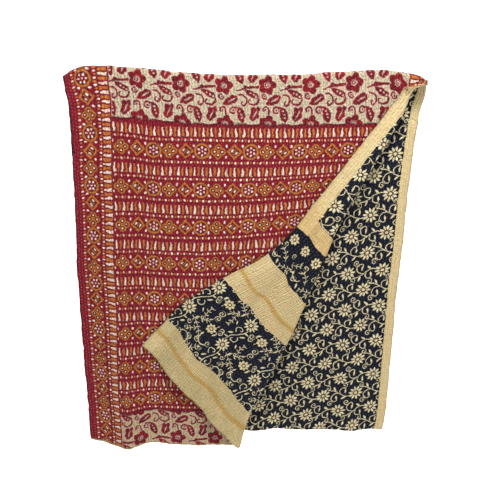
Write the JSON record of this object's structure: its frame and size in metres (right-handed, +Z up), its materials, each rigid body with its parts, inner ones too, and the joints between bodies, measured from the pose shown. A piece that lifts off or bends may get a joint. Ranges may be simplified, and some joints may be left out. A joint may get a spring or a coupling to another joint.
{
  "type": "kantha quilt",
  "caption": "Thin stitched cotton quilt doubled over at its top fold, with the lower right corner of its front layer turned over to show the reverse.",
  "frame": {"origin": "middle of the crest of the top fold, where the quilt lies over its line or rail", "axes": "+X along the top fold, to the right as seen from the front; +Y away from the viewer, from the front layer to the back layer; +Z up"},
  "size_m": [1.0815, 0.0958, 1.285],
  "materials": {
    "red_cloth": "matt printed cotton, dark red with ochre and cream, rippled by rows of running stitch",
    "black_cloth": "matt printed cotton, blue black with cream flowers and cream borders, rippled by rows of running stitch"
  },
  "bodies": {
    "root": {"red_cloth": "red_cloth", "black_cloth": "black_cloth"}
  },
  "joints": []
}
